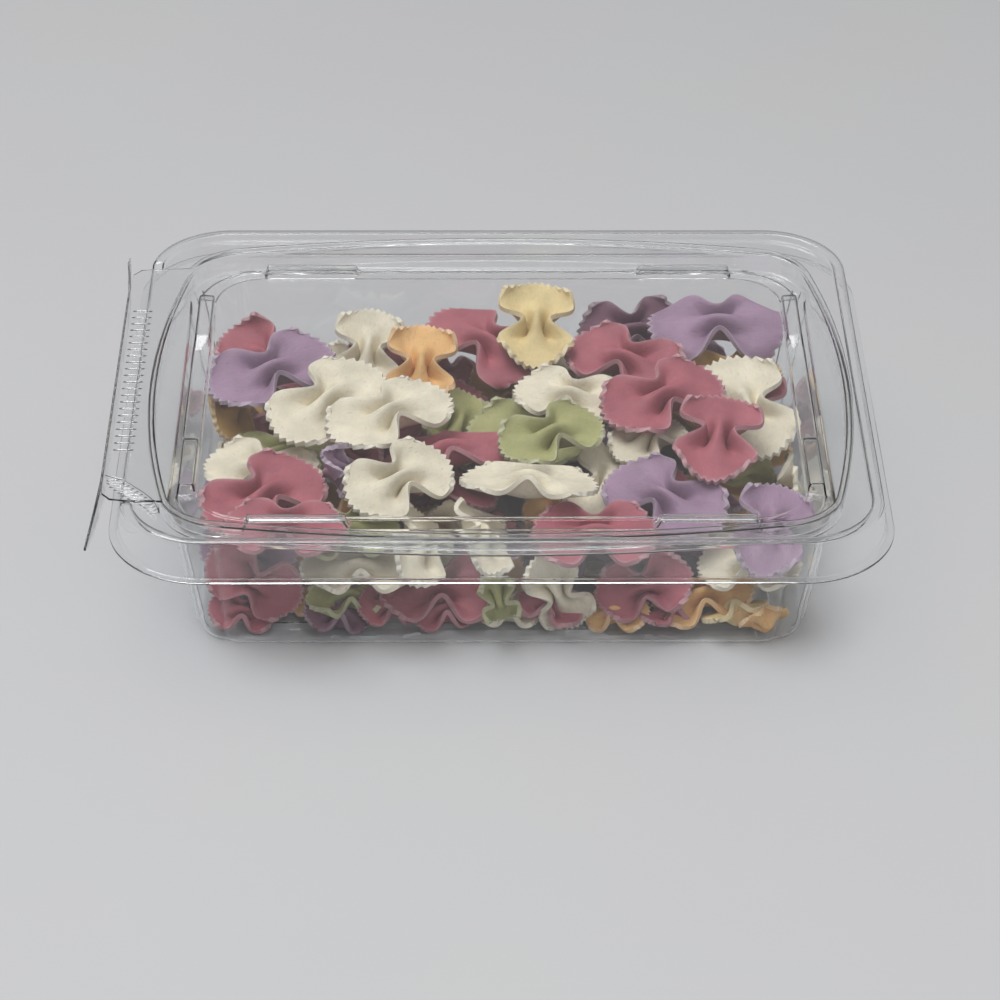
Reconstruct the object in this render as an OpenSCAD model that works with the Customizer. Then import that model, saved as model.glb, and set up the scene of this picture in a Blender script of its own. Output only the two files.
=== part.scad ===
// Clear hinged clamshell pack with a tear strip, filled with coloured bow-tie pasta.
// Millimetres. The origin is the middle of the foot on the table, +Z is up, the hinge is
// on the -X side and the front is on the -Y side. The pack is drawn closed.

/* [Rim] */
// Width over the rim, from the hinge side to the far side
rim_w = 184; // [160:1:220]
// Depth over the rim, front to back
rim_d = 147.2; // [130:0.2:180]
// Height of the rim above the table
rim_h = 43; // [40:0.5:60]
// Outer radius of the rim's corners
rim_r = 20.5; // [18:0.5:26]
// Width of the flat bead on top of the rim
bead_w = 2.8; // [2.4:0.1:3.6]
// Height of the skirt, from the bead down to the lip
skirt_h = 9.8; // [7:0.1:14]
// How far the skirt leans out on its way down
skirt_lean = 1.1; // [0.4:0.1:2.5]
// Width of the lip that turns out below the skirt
lip_w = 2; // [1:0.1:4]

/* [Film] */
// Thickness of the formed film
film = 0.5; // [0.35:0.05:0.8]
// Clearance under the lid's flange and ledge
seat_gap = 0.3; // [0.2:0.05:0.6]
// Clearance round the lid's ring wall, wide enough for the fold of the hinge
ring_gap = 0.95; // [0.9:0.05:1.2]

/* [Tray] */
// Distance from the rim in to the top of the tray wall
wall_in = 11; // [9:0.5:14]
// Draft of the tray wall in degrees
draft = 9.5; // [4:0.5:12]
// Corner radius at the top of the tray wall
tray_r = 17; // [15:0.5:22]
// Radius of the rounded edge at the foot
foot_r = 5; // [3:0.5:7]
// Radius of a corner flute at the top of the wall
flute_top_r = 8; // [7:0.5:10]
// Radius of a corner flute at the foot
flute_foot_r = 5; // [4:0.5:6]
// Width of the foot ring that the pack stands on
foot_w = 10; // [8:0.5:16]
// Rise of the floor inside the foot ring
floor_rise = 1.2; // [0.6:0.1:2]

/* [Lid] */
// Depth of the lid's flange below the rim
lid_drop = 1; // [0.6:0.1:1.6]
// Clearance from the flange to the inside of the bead
flange_gap = 0.4; // [0.3:0.1:0.8]
// Depth of the ring wall from the flange down to the ledge
ring_h = 5.2; // [4:0.1:7]
// Distance from the rim in to the ring wall, in the middle of the left and right sides
ring_in_x = 5; // [4.6:0.1:6]
// Distance from the rim in to the ring wall, in the middle of the front and back
ring_in_y = 6; // [4.6:0.1:7]
// Bow radius of the left and right sides
bow_x_r = 225; // [200:5:400]
// Bow radius of the front and back sides
bow_y_r = 440; // [350:10:700]
// Corner radius of the ring wall
ring_r = 14; // [12:0.5:18]
// Distance from the rim in to the raised panel
panel_in = 12.8; // [12:0.1:16]
// Corner radius of the raised panel
panel_r = 17; // [14:0.5:20]
// Rise of the panel's shoulder above the ledge
shoulder_h = 0.8; // [0.6:0.1:1.5]
// Width of the shoulder
shoulder_w = 4.7; // [4.5:0.1:6]
// Rise of the panel above its shoulder
panel_rise = 0.5; // [0.4:0.1:1]

/* [Stacking lugs] */
// Length of a lug on the front and back
lug_l = 24.5; // [18:0.5:30]
// Length of a lug on the left and right
side_lug_l = 23; // [16:0.5:28]
// Width of a lug
lug_w = 3.6; // [2.8:0.1:4]
// Height of a lug above the shoulder
lug_h = 2.2; // [1.5:0.1:3]
// Distance of a front or back lug from the middle
lug_x = 49.6; // [40:0.2:54]
// Distance of a left or right lug from the middle
lug_y = 33.5; // [26:0.5:36]

/* [Hinge and tear strip] */
// Distance of the fold lines outside the rim
hinge_out = 5.2; // [4.8:0.1:8]
// Length of the strip between the fold lines, front to back
strip_l = 110; // [90:1:120]
// Clear distance from each fold line to the film beside it
fold_gap = 0.4; // [0.3:0.05:0.6]
// Length of a pull tab
tab_l = 27; // [20:0.5:34]
// Width of a pull tab at its middle
tab_w = 7; // [5:0.5:8]
// How far a pull tab swings outwards, in degrees
tab_swing = 5; // [2:0.5:10]

/* [Grip patch] */
// Number of plain ribs pressed into the flange beside the hinge
rib_n = 22; // [8:1:28]
// Distance between those ribs
rib_pitch = 3.1; // [2.4:0.1:3.6]
// Number of ridges on the corner where the lid is lifted
ridge_n = 11; // [6:1:12]
// Distance between those ridges
ridge_pitch = 1.4; // [1.2:0.1:1.6]
// Length of the longest ridge, in the middle of the patch
ridge_l = 7.6; // [5:0.2:9]
// Distance from the first ridge to the last, away from the hinge
ridge_run = 13; // [10:0.5:16]
// Length of a rib
rib_l = 5; // [3:0.5:6]
// Height of the ribs and ridges
rib_h = 0.3; // [0.2:0.05:0.5]

/* [Pasta] */
// Length of a bow, from one pinked end to the other
bow_l = 38; // [34:0.5:40]
// Width of a bow at its pinked ends
bow_w = 26; // [22:0.5:28]
// Thickness of the dough
dough = 1.2; // [0.9:0.1:1.4]
// Half height of the folds where a bow is pinched
pinch_h = 3; // [2:0.1:3.4]
// How far the corners of a pinked end curve back, as a share of half the bow
end_round = 0.34; // [0.1:0.02:0.45]

/* [Hidden] */
$fn = 64;

// levels of the film's upper face
flange_z = rim_h - lid_drop;
lid_ledge_z = flange_z - ring_h;
shoulder_z = lid_ledge_z + shoulder_h;
panel_z = shoulder_z + panel_rise;
shelf_z = flange_z - film - seat_gap;
ledge_z = lid_ledge_z - film - seat_gap;
lip_z = rim_h - skirt_h;

// how far a corner stands proud of a curve that it touches, so that the two cross cleanly
blend = 0.03;

// rounded top edge of the bead, and the clearance at the ends of the notch for the hinge
bead_r = 1.2;
notch_gap = 0.5;

// half sizes of the outlines
rim_x = rim_w / 2;
rim_y = rim_d / 2;
ring_x = rim_x - ring_in_x;
ring_y = rim_y - ring_in_y;
panel_x = rim_x - panel_in;
panel_y = rim_y - panel_in;

// centre of each rounded tray corner, and the walls' lean over a height
tray_cx = rim_x - wall_in - tray_r;
tray_cy = rim_y - wall_in - tray_r;
function lean(h) = h * tan(draft);
foot_d = tray_r - lean(ledge_z - film - foot_r) - foot_r / cos(draft);
flute_foot_d = tray_r - lean(ledge_z - film - foot_r) - flute_foot_r;

// fold lines: A joins the strip to the lid, B joins it to the tray
fold_x = -rim_x - hinge_out;
fold_a_z = flange_z - film / 2;
fold_b_z = lip_z + film / 2;
strip_h = fold_a_z - fold_b_z;

// The pile follows the tray: it is laid out in a tray of this width, depth and room between
// the floor and the panel, and where any of them shrinks the bows shrink with it
laid_out = [184, 147.2, 37.6];
room = [rim_w, rim_d, panel_z - film];
spread = [for (i = [0:2]) room[i] / laid_out[i]];
bow_scale = min(1, spread[0], spread[1], spread[2]);

// Spacing of the bows on the floor, and the height of their middles
floor_pitch = [34, 31];
floor_bow_z = film + floor_rise + 0.3 + pinch_h + dough / 2;

// Width of a rib or a ridge, and how deep its root goes into the film
rib_w = 0.5;
rib_root = 0.05;

// Film colours and the colours of the dough
clear_film = [0.80, 0.84, 0.86, 0.35];
DOUGH = ["#a85b6c", "#7a5568", "#9d82a0", "#e6dcc4", "#e0cb93", "#cda35c", "#e6b27f", "#a7ad80"];
rose = 0;
plum = 1;
lavender = 2;
cream = 3;
straw = 4;
ochre = 5;
peach = 6;
sage = 7;

// Every bow of pasta: colour, place of its middle, turn about X, Y and Z, size, cup of the
// wings across their width, and how far the wings are bent up.
BOWS = [
    // on top, from the back to the front
    [rose, [-61.3, 39.3, 22.9], [20, 6, -38], 0.85, 5, 1],
    [cream, [-34.8, 43, 22.5], [6, -20, 84], 0.82, 4, 0],
    [rose, [-3, 42, 26], [8, 4, -40], 1, -3, -1],
    [straw, [10, 43, 31], [3, -12, 88], 0.88, 4, 1],
    [plum, [36, 50, 25], [30, 0, 12], 0.8, 4, 0],
    [rose, [33.5, 31, 27.6], [12, 0, -32], 0.93, 3, 0],
    [lavender, [58.2, 42.9, 31], [14, 0, 2], 1.0, -5, -2],
    [cream, [64, 10, 26.5], [6, 12, -76], 1, 3, 1],
    [ochre, [-69.5, 21, 20], [48, 0, 84], 0.75, 3, 0],
    [lavender, [-59, 20.6, 31], [12, -4, 30], 0.96, 3, 0],
    [peach, [-20.3, 25, 29.5], [4, -18, 87], 0.8, 5, 0],
    [cream, [-44, 5, 31.6], [8, -5, 53], 1.0, 2, 0],
    [cream, [-28, -4, 33.4], [4, 0, 38], 0.97, 2, 0],
    [sage, [-11, 14, 18.2], [25, -8, 80], 0.8, 5, 0],
    [sage, [8.5, 6.5, 20.2], [14, 0, -12], 0.93, 4, 0],
    [cream, [18.6, 13.6, 27.3], [8, 0, -20], 0.83, 3, 0],
    [rose, [42, 8, 30.8], [12, 0, 34], 0.97, 3, 0],
    [rose, [55, -12, 32], [4, -5, 80], 0.93, 4, 0],
    [lavender, [-41, -22.5, 29.5], [70, 60, 60], 0.42, 6, 0],
    [rose, [-14, -11, 26], [-8, 0, 27], 1.0, -4, -2],
    [cream, [-25.3, -31.3, 31.8], [22, 0, 42], 0.85, 2, 0],
    [cream, [7, -30.8, 30.8], [-14, 0, -7], 0.92, 2, 0],
    [sage, [13, -9, 30.5], [12, 0, 33], 0.8, 3, 0],
    [cream, [27, -16, 19.5], [10, -10, 70], 0.85, 4, 0],
    [lavender, [41, -29, 24.5], [12, 0, -45], 0.97, 3, 0],
    [lavender, [66.3, -43, 25.5], [10, -14, 75], 0.8, 4, 0],
    [rose, [-58.8, -32.8, 28], [12, 0, 50], 1.0, 3, 0],
    [cream, [-60, -13, 22], [10, 0, -20], 0.85, 3, 0],
    [peach, [-41, -31, 15.3], [35, 0, 22], 0.83, 5, 0],
    [plum, [-63.8, -31, 12.8], [0, -25, 82], 0.83, 3, 0],
    [sage, [-55.5, 0, 18.2], [5, 0, 10], 0.85, 2, 0],
    [rose, [23, -46, 25.8], [14, 0, 3], 0.86, 2, 0],
    [cream, [-20, -45, 21.3], [38, 0, 80], 0.72, 4, 0],
    [cream, [-5, -45, 24], [38, 0, 96], 0.7, 4, 0],
    [rose, [-53, -49.2, 30], [6, 0, -5], 0.83, 2, 0],
    [ochre, [44, 23, 17.6], [14, 0, 20], 0.88, 3, 0],
    [rose, [66.3, 28, 14], [0, -20, 84], 0.83, 3, 0],
    [ochre, [61, 32, 22.8], [10, 0, 8], 0.75, 3, 0],
    [cream, [37.8, -1.6, 24.4], [8, 0, 48], 0.64, 3, 0],
    [sage, [-38, -43.4, 25.2], [20, 0, 8], 0.7, 3, 0],
    [plum, [20, -31, 11.8], [16, 0, 28], 0.85, 3, 0],
    [rose, [-18, 28, 13], [10, 0, 16], 0.9, 2, 0],
    // standing, leaning and lying behind the front wall
    [rose, [-61, -48, 14], [72, 28, -8], 0.7, 2, 0],
    [sage, [-38.3, -47, 8.4], [28, 8, 18], 0.55, 5, 0],
    [cream, [-35, -47.8, 17.6], [12, 3, 6], 0.78, 3, 1],
    [rose, [-15, -45.5, 10], [28, 4, 3], 0.85, 2, 0],
    [sage, [-0.8, -53.7, 12.9], [84, 78, 0], 0.4, 5, 0],
    [cream, [14, -50.5, 12], [80, 66, -4], 0.62, 3, 0],
    [rose, [35.2, -48.5, 12.3], [52, -14, 4], 0.67, 4, 0],
    [peach, [50, -46.5, 8.5], [30, -10, 10], 0.7, 2, 0],
    [straw, [66.2, -35.5, 10.7], [34, 8, 76], 0.6, 5, 0],
    [cream, [61.2, -46.4, 17.5], [20, -8, -12], 0.7, 2, 0],
    // against the other three walls
    [lavender, [-73, -7, 10.5], [80, 16, 90], 0.62, 2, 0],
    [cream, [73.5, -11, 13.5], [-78, 18, 90], 0.8, 2, 0],
    [rose, [-30, 52.5, 12.6], [-78, 14, 0], 0.7, 2, 0],
    [cream, [20, 51.5, 12.6], [-79, -16, 0], 0.74, 2, 0],
];

// Where the sheet of a bow is cut into facets: along its length and across it
ALONG = [-1, -0.62, -0.28, 0, 0.28, 0.62, 1];
ACROSS = [-1, -0.5, 0, 0.5, 1];

// Shapes shared by the outlines

module rounded_rect(hx, hy, r) {
    square([2 * (hx - r), 2 * hy], center = true);
    square([2 * hx, 2 * (hy - r)], center = true);
    for (x = [-1, 1], y = [-1, 1]) translate([x * (hx - r), y * (hy - r)]) circle(r);
}

// A rounded outline whose four sides bow outwards. The corner circle touches both arcs:
// its centre is where two circles of radius bow - r, about the arcs' centres, cross.
function bow_corner(hx, hy, r) =
    let (a = bow_x_r - hx, b = bow_y_r - hy, p = bow_x_r - r, q = bow_y_r - r,
         d = norm([a, b]), e = [a, -b] / d, n = [b, a] / d,
         s = (d * d + p * p - q * q) / (2 * d), h = sqrt(p * p - s * s))
    [-a, 0] + s * e + h * n;

module bowed_rect(hx, hy, r) {
    a = bow_x_r - hx;
    b = bow_y_r - hy;
    c = bow_corner(hx, hy, r);
    to_side = c - [-a, 0];
    to_end = c - [0, -b];
    side = [-a, 0] + to_side * bow_x_r / norm(to_side);
    end = [0, -b] + to_end * bow_y_r / norm(to_end);
    intersection() {
        translate([-a, 0]) circle(bow_x_r, $fn = 360);
        translate([a, 0]) circle(bow_x_r, $fn = 360);
        translate([0, -b]) circle(bow_y_r, $fn = 360);
        translate([0, b]) circle(bow_y_r, $fn = 360);
        union() {
            square([2 * hx + 2, 2 * side[1]], center = true);
            square([2 * end[0], 2 * hy + 2], center = true);
            polygon([side, end, [-end[0], end[1]], [-side[0], side[1]],
                     -side, -end, [end[0], -end[1]], [side[0], -side[1]]]);
        }
    }
    for (x = [-1, 1], y = [-1, 1]) translate([x * c[0], y * c[1]]) circle(r + blend);
}

// Carries a profile, x outwards from the corner centre and y up, round four corners
module round_the_rim(cx, cy) {
    for (k = [0:3]) {
        corner = [[cx, cy], [-cx, cy], [-cx, -cy], [cx, -cy]][k];
        translate(corner) rotate(90 * k) rotate_extrude(angle = 90) children();
    }
    for (k = [0, 1]) rotate(180 * k) {
        translate([cx, cy, 0]) rotate([90, 0, 0]) linear_extrude(2 * cy) children();
        translate([-cx, cy, 0]) rotate([90, 0, 90]) linear_extrude(2 * cx) children();
    }
}

// Tray

// Section of the drafted wall and its rounded foot, grown by t from the inner face
module wall_section(t, inset, top) {
    arc = [for (i = [0:5]) -90 + (90 - draft) * i / 5];
    polygon(concat(
        [[0, film - t]],
        [for (a = arc) [foot_d - inset, film + foot_r] + (foot_r + t) * [cos(a), sin(a)]],
        [[tray_r - inset + lean(top - ledge_z) + t / cos(draft), top], [0, top]]));
}

// Inside of the tray, grown by t: drafted sides, and three flutes round each corner
module tray_room(t, top) {
    flute_tilt = atan((tray_r - flute_top_r - flute_foot_d) / (ledge_z - film - foot_r));
    flute_h = (top - film - foot_r) / cos(flute_tilt);
    slope = (flute_top_r - flute_foot_r) / (ledge_z - film - foot_r);
    for (k = [0, 1]) rotate(180 * k) {
        translate([tray_cx, tray_cy, 0]) rotate([90, 0, 0])
            linear_extrude(2 * tray_cy) wall_section(t, 0, top);
        translate([-tray_cx, tray_cy, 0]) rotate([90, 0, 90])
            linear_extrude(2 * tray_cx) wall_section(t, 0, top);
    }
    translate([-tray_cx, -tray_cy, film - t]) cube([2 * tray_cx, 2 * tray_cy, top - film + t]);
    for (k = [0:3]) {
        corner = [[1, 1], [-1, 1], [-1, -1], [1, -1]][k];
        translate([corner[0] * tray_cx, corner[1] * tray_cy, 0]) rotate(90 * k) {
            rotate_extrude(angle = 90) wall_section(t, 1.8, top);
            // the middle flute starts higher, so that four joints don't meet in one point
            for (a = [0, 45, 90]) let (lift = a == 45 ? 0.4 : blend)
                rotate(a) translate([flute_foot_d - 0.2, 0, film + foot_r + lift]) {
                    rotate([0, flute_tilt, 0])
                        cylinder(h = flute_h - lift, r1 = flute_foot_r + t,
                                 r2 = flute_foot_r + t + slope * flute_h);
                    sphere(flute_foot_r + t + blend);
                }
        }
    }
}

// Everything that is open above the tray's film, grown by t
module tray_hollow(t, top) {
    tray_room(t, top);
    translate([0, 0, ledge_z - t]) linear_extrude(top - ledge_z + t)
        bowed_rect(ring_x + film + ring_gap + t, ring_y + film + ring_gap + t, ring_r + t);
    translate([0, 0, shelf_z - t]) linear_extrude(top - shelf_z + t)
        rounded_rect(rim_x - bead_w + t, rim_y - bead_w + t, rim_r - bead_w + t);
}

// Filled outline of the bead and the skirt, from which the notch for the hinge is lined
module rim_filled() {
    foot = rim_r + skirt_lean;
    polygon([[rim_r - bead_w - film, lip_z + film], [rim_r - bead_w - film, rim_h],
             [rim_r - bead_r, rim_h], [rim_r, rim_h - bead_r], [foot, lip_z + film]]);
}

// Where the rim is lowered to let the lid's flange out to the hinge, grown by t
module hinge_notch(t) {
    l = strip_l + 2 * notch_gap + 2 * t;
    translate([fold_x, -l / 2, shelf_z - t]) cube([hinge_out + bead_w + film, l, rim_h]);
}

// Bead, skirt and lip, as one band of film round the rim
module rim_section() {
    foot = rim_r + skirt_lean;
    polygon(concat(
        [[rim_r - bead_w + film / 2, rim_h - film], [rim_r - bead_w + film / 2, rim_h]],
        [for (a = [90, 60, 30, 0])
            [rim_r - bead_r, rim_h - bead_r] + bead_r * [cos(a), sin(a)]],
        [[foot, lip_z + film + 0.4], [foot + 0.4, lip_z + film],
         [foot + lip_w, lip_z + film], [foot + lip_w, lip_z],
         [foot + 0.2, lip_z], [foot - film, lip_z + 0.7]],
        [for (a = [0, 30, 60, 90])
            [rim_r - bead_r, rim_h - bead_r] + (bead_r - film) * [cos(a), sin(a)]]));
}

module tray() color(clear_film) {
    hinge_plate = -fold_x - fold_gap - rim_x - skirt_lean - lip_w / 2;
    difference() {
        union() {
            difference() {
                tray_hollow(film, rim_h);
                difference() {
                    tray_hollow(0, rim_h + 1);
                    foot_panel(0);
                }
                foot_panel(film);
            }
            round_the_rim(rim_x - rim_r, rim_y - rim_r) rim_section();
            intersection() {
                round_the_rim(rim_x - rim_r, rim_y - rim_r) rim_filled();
                hinge_notch(film);
            }
        }
        hinge_notch(0);
    }
    translate([fold_x + fold_gap, -strip_l / 2, lip_z]) cube([hinge_plate, strip_l, film]);
}

// Raised middle of the floor, lowered and shrunk by t for its under side
module foot_panel(t) {
    x = tray_cx + foot_d + foot_r - foot_w - t;
    y = tray_cy + foot_d + foot_r - foot_w - t;
    translate([0, 0, -t]) linear_extrude(film + floor_rise) rounded_rect(x, y, foot_r - t);
}

// Lid

// One lug with rounded corners, shrunk by t
module lug(l, t) {
    translate([0, 0, lid_ledge_z - film - 2 * t])
        linear_extrude(shoulder_z + lug_h - lid_ledge_z + film + t)
            rounded_rect(l / 2 - t, lug_w / 2 - t, 1.2 - t / 2);
}

// Panel, shoulder and lugs that stand up from the ledge, shrunk by t
module raised_part(t) {
    from = lid_ledge_z - film - 2 * t;
    translate([0, 0, from]) linear_extrude(shoulder_z - t - from)
        rounded_rect(panel_x - t, panel_y - t, panel_r - t);
    translate([0, 0, from]) linear_extrude(panel_z - t - from)
        rounded_rect(panel_x - shoulder_w - t, panel_y - shoulder_w - t, panel_r - shoulder_w - t);
    for (x = [-1, 1], y = [-1, 1]) {
        translate([x * lug_x, y * (panel_y - shoulder_w / 2), 0]) lug(lug_l, t);
        translate([x * (panel_x - shoulder_w / 2), y * lug_y, 0]) rotate(90) lug(side_lug_l, t);
    }
}

// The flange follows the ring wall, and on the hinge side it runs out to the fold line
module flange_outline() {
    from = fold_x + fold_gap;
    to = -ring_x + ring_r;
    bowed_rect(rim_x - bead_w - flange_gap, rim_y - bead_w - flange_gap, ring_r + 3);
    translate([(from + to) / 2, 0]) rounded_rect((to - from) / 2, strip_l / 2 - 1, 4);
}

// Plain ribs along the fold, and a leaf-shaped patch of ridges on the lifting corner
module grip_marks() {
    for (i = [0:rib_n - 1])
        translate([fold_x + fold_gap + 1.5, (i - (rib_n - 1) / 2) * rib_pitch - rib_w / 2,
                   flange_z - rib_root])
            cube([rib_l, rib_w, rib_h + rib_root]);
    intersection() {
        translate([0, 0, flange_z - rib_root]) linear_extrude(rib_h + rib_root) flange_outline();
        for (i = [0:ridge_n - 1]) {
            along = i / (ridge_n - 1);
            l = ridge_l * (0.4 + 0.6 * sin(180 * along));
            translate([fold_x + 3 + ridge_run * along, -strip_l / 2 + 8 - i * ridge_pitch, flange_z])
                rotate(-25) cube([l, rib_w, 2], center = true);
        }
    }
}

module lid() color(clear_film) {
    difference() {
        union() {
            difference() {
                union() {
                    translate([0, 0, flange_z - film]) linear_extrude(film) flange_outline();
                    translate([0, 0, lid_ledge_z - film]) linear_extrude(ring_h + film / 2)
                        bowed_rect(ring_x + film, ring_y + film, ring_r + film);
                }
                translate([0, 0, lid_ledge_z]) linear_extrude(ring_h + 1)
                    bowed_rect(ring_x, ring_y, ring_r);
            }
            raised_part(0);
        }
        raised_part(film);
    }
    grip_marks();
}

// A leaf-shaped pull tab with pressed ridges, from its root at the origin along +X, flat
module pull_tab() {
    tab_arc = (tab_l * tab_l / 4 + tab_w * tab_w / 4) / tab_w;
    linear_extrude(film) intersection() {
        translate([tab_l / 2, tab_arc - tab_w / 2]) circle(tab_arc, $fn = 180);
        translate([tab_l / 2, tab_w / 2 - tab_arc]) circle(tab_arc, $fn = 180);
    }
    for (i = [0:6]) translate([tab_l / 2 + (i - 2) * 2, 0, film + (rib_h - rib_root) / 2])
        rotate(60) cube([tab_w * 0.62 - 0.35 * i, rib_w, rib_h + rib_root], center = true);
}

module tear_strip() color(clear_film) {
    strip_mid_z = (fold_a_z + fold_b_z) / 2;
    translate([fold_x - film / 2, -strip_l / 2, fold_b_z + fold_gap])
        cube([film, strip_l, strip_h - 2 * fold_gap]);
    for (end = [-1, 1]) translate([fold_x + film / 2, end * (strip_l / 2 - tab_l / 2), strip_mid_z])
        rotate([0, 0, end * (90 + tab_swing)]) rotate([-90 * end, 0, 0]) pull_tab();
}

// Pasta

// Middle of the dough at s along the bow and v across it. Near the middle the width is
// gathered into three folds; towards the pinked ends the wings open out.
function dough_at(s, v, size, cup, bend) =
    let (pinch = exp(-pow(s / 0.34, 2)), curled = 1 - 0.004 * cup * cup * s * s)
    [size * s * bow_l / 2 * (1 - end_round * v * v),
     size * v * bow_w / 2 * (1 - 0.66 * pinch) * curled,
     pinch_h * pinch * cos(360 * v) + cup * s * s * (v * v - 0.3) + bend * (s * s - 0.3)];

function face_of_dough(s, v, size, cup, bend, side) =
    let (e = 0.02,
         ds = dough_at(s + e, v, size, cup, bend) - dough_at(s - e, v, size, cup, bend),
         dv = dough_at(s, v + e, size, cup, bend) - dough_at(s, v - e, size, cup, bend),
         n = cross(ds, dv))
    dough_at(s, v, size, cup, bend) + side * dough / 2 * n / norm(n);

// One of the bows that lie on the floor, in three rows of four: the middle row is set over,
// every other bow lies across the next, and each is tipped a little
function floor_bow(i, j) =
    [(3 * i + 5 * j) % len(DOUGH),
     [(i - 1.5) * floor_pitch[0] + (j % 2) * 4 - 2, (j - 1) * floor_pitch[1], floor_bow_z],
     [4 * ((i + j) % 3 - 1), 3 * ((i + 2 * j) % 3 - 1), 40 + 90 * ((i + j) % 2) + 8 * (i % 2)],
     0.84, 1, 0];

module floor_layer() {
    for (i = [0:3], j = [0:2]) bow(floor_bow(i, j));
}

module bow(b) {
    rows = len(ALONG);
    cols = len(ACROSS);
    under = rows * cols;
    points = [for (side = [1, -1], s = ALONG, v = ACROSS)
        face_of_dough(s, v, b[3], b[4], b[5], side)];
    faces = concat(
        [for (i = [0:rows - 2], j = [0:cols - 2]) let (a = i * cols + j)
            each [[a, a + 1, a + cols + 1], [a, a + cols + 1, a + cols],
                  [under + a, under + a + cols + 1, under + a + 1],
                  [under + a, under + a + cols, under + a + cols + 1]]],
        [for (i = [0:rows - 2]) let (a = i * cols, c = a + cols - 1)
            each [[a, a + cols, under + a + cols], [a, under + a + cols, under + a],
                  [c + cols, c, under + c], [c + cols, under + c, under + c + cols]]],
        [for (j = [0:cols - 2]) let (a = j, c = (rows - 1) * cols + j)
            each [[a + 1, a, under + a], [a + 1, under + a, under + a + 1],
                  [c, c + 1, under + c + 1], [c, under + c + 1, under + c]]]);
    place = [for (i = [0:2]) b[1][i] * spread[i]];
    color(DOUGH[b[0]]) translate(place) rotate(b[2]) scale(bow_scale) polyhedron(points, faces);
}

tray();
lid();
tear_strip();
floor_layer();
for (i = [1:len(BOWS)]) bow(BOWS[i - 1]);
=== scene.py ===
import math

import bmesh
import bpy
from mathutils import Matrix, Vector, noise


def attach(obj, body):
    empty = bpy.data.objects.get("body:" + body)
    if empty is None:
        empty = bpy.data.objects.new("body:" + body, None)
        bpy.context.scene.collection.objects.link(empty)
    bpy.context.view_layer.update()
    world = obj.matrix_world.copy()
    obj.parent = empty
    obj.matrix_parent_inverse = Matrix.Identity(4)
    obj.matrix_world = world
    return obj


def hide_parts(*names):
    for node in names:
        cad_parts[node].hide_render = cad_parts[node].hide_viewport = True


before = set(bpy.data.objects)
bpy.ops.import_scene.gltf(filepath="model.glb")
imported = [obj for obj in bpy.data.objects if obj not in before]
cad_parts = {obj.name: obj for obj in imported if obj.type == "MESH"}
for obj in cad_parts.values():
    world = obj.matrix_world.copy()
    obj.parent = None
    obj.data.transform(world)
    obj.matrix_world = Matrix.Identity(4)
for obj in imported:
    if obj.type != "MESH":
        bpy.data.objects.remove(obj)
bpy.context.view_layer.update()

mm = 0.001


# The table. A sheet of matt, pale paper lies under the pack. Its colour darkens towards the
# back, painted shade where the light falls off, and it is faintly mottled.

def placed(name, bm):
    """The object that a finished bmesh becomes."""
    mesh = bpy.data.meshes.new(name)
    bm.to_mesh(mesh)
    bm.free()
    piece = bpy.data.objects.new(name, mesh)
    bpy.context.collection.objects.link(piece)
    return piece


def nodes_of(owner):
    """Empties a material's or world's nodes, and gives the calls that add and join them."""
    owner.use_nodes = True
    owner.node_tree.nodes.clear()
    return owner.node_tree.nodes.new, owner.node_tree.links.new


def noise_at(add, join, place, scale, detail):
    node = add("ShaderNodeTexNoise")
    node.inputs["Scale"].default_value = scale
    node.inputs["Detail"].default_value = detail
    join(place, node.inputs["Vector"])
    return node


def mixed(add, join, way, share, first, second):
    """A mix of two colours. The share and the colours are values or other nodes' outputs."""
    node = add("ShaderNodeMix")
    node.data_type = "RGBA"
    node.blend_type = way
    for name, source in (("Factor", share), ("A", first), ("B", second)):
        if isinstance(source, bpy.types.NodeSocket):
            join(source, node.inputs[name])
        else:
            node.inputs[name].default_value = source
    return node.outputs["Result"]


paper = bpy.data.materials.new("backdrop_paper")
add, join = nodes_of(paper)
out = add("ShaderNodeOutputMaterial")
sheet_skin = add("ShaderNodeBsdfPrincipled")
where = add("ShaderNodeTexCoord").outputs["Object"]
apart = add("ShaderNodeSeparateXYZ")
depth = add("ShaderNodeMapRange")
painted_falloff = add("ShaderNodeValToRGB")
join(where, apart.inputs[0])
join(apart.outputs["Y"], depth.inputs["Value"])
near_y, far_y = -0.25, 0.9
depth.inputs["From Min"].default_value = near_y
depth.inputs["From Max"].default_value = far_y
join(depth.outputs["Result"], painted_falloff.inputs["Fac"])
# painted shade: the paper's colour darkens from the front to the back, as though less light
# reached it
painted_falloff.color_ramp.elements[0].color = (0.56, 0.56, 0.57, 1)
painted_falloff.color_ramp.elements[1].color = (0.33, 0.332, 0.338, 1)
mottle = noise_at(add, join, where, 9, 6)
tone = mixed(add, join, "MULTIPLY", 0.05, painted_falloff.outputs["Color"], mottle.outputs["Color"])
join(tone, sheet_skin.inputs["Base Color"])
sheet_skin.inputs["Roughness"].default_value = 0.85
sheet_skin.inputs["Specular IOR Level"].default_value = 0.2
join(sheet_skin.outputs[0], out.inputs["Surface"])

half_table = 2.2
bm = bmesh.new()
bmesh.ops.create_grid(bm, x_segments=40, y_segments=40, size=half_table)
table_paper = placed("table_paper", bm)
table_paper.data.materials.append(paper)


# The film of the pack: clear PET sheet, half a millimetre thick, drawn over a mould. It
# bends the light a little at every fold, and lamps reach the pasta through it.

film = 0.5 * mm
half_film = 0.25
# a ring of points this far inside an open edge keeps the face behind it flat to the light
edge_step = 0.2

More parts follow.
